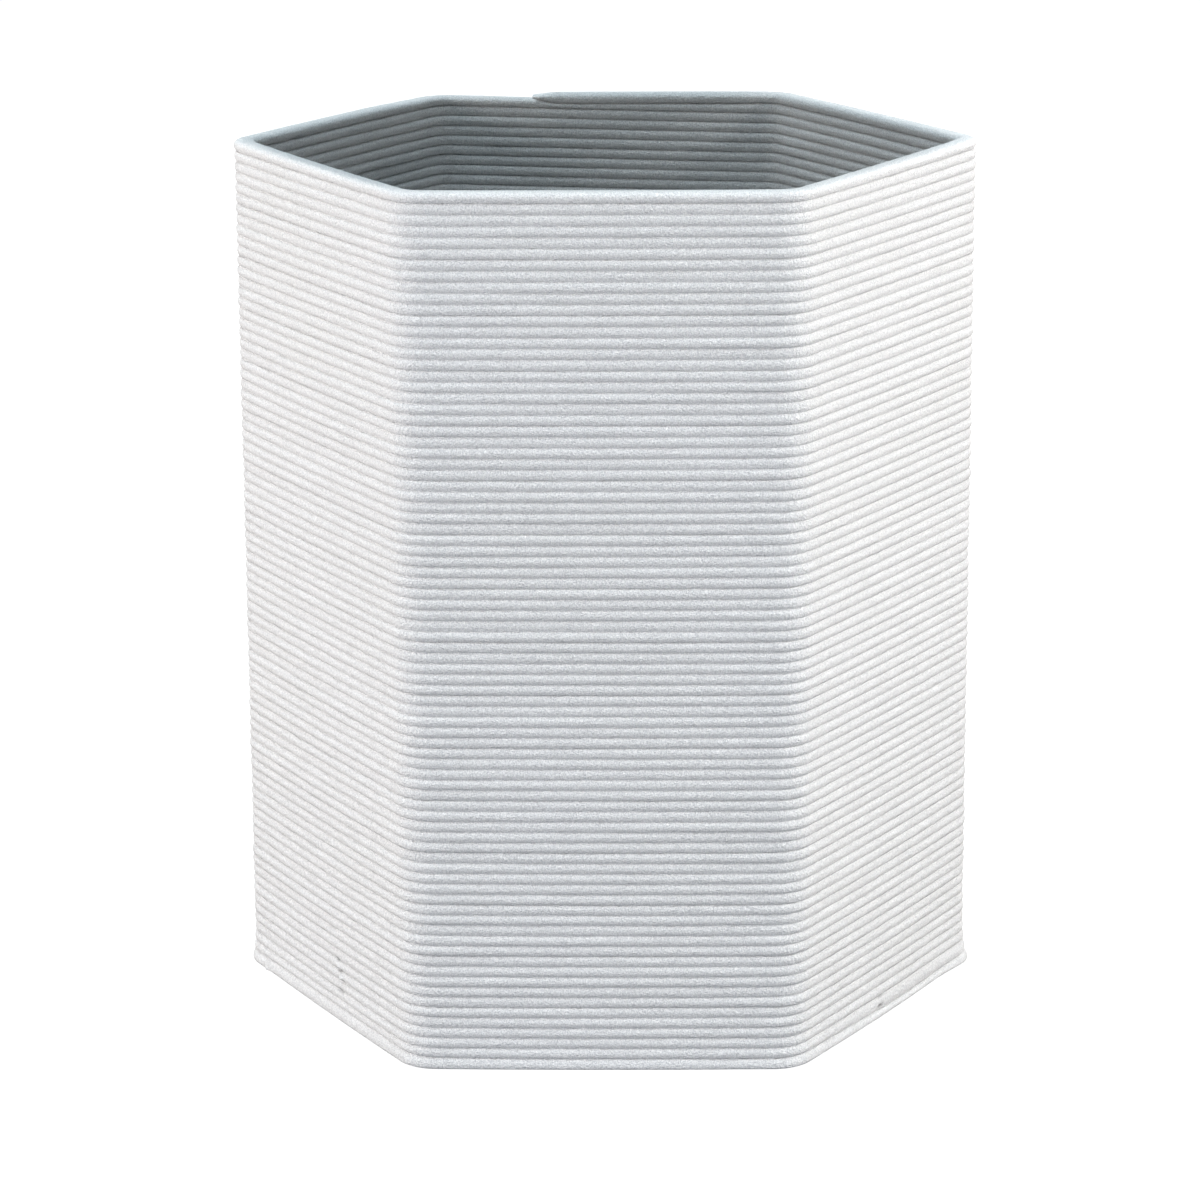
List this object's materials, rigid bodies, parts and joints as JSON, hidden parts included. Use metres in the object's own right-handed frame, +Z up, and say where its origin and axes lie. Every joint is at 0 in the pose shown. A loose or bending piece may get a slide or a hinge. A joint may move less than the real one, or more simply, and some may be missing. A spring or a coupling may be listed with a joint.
{
  "type": "hexagonal printed vessel",
  "caption": "Open-topped hexagonal vessel with rounded corners, its wall laid up from one thick extruded polymer bead that shows as even horizontal ribs inside and out.",
  "frame": {"origin": "centre of the bounding box's underside, on the surface the vessel stands on", "axes": "+Z up out of the open mouth; +X across the corners; -Y out of the front side; the bead's last turn ends on the +Y side"},
  "size_m": [0.2126, 0.1876, 0.246],
  "materials": {
    "bead_polymer": "as extruded: fine mineral grain, matte, off-white"
  },
  "bodies": {
    "root": {"base_course": "bead_polymer", "floor_first_layer": "bead_polymer", "floor_second_layer": "bead_polymer", "wall_bead": "bead_polymer", "rim_course": "bead_polymer"}
  },
  "joints": []
}
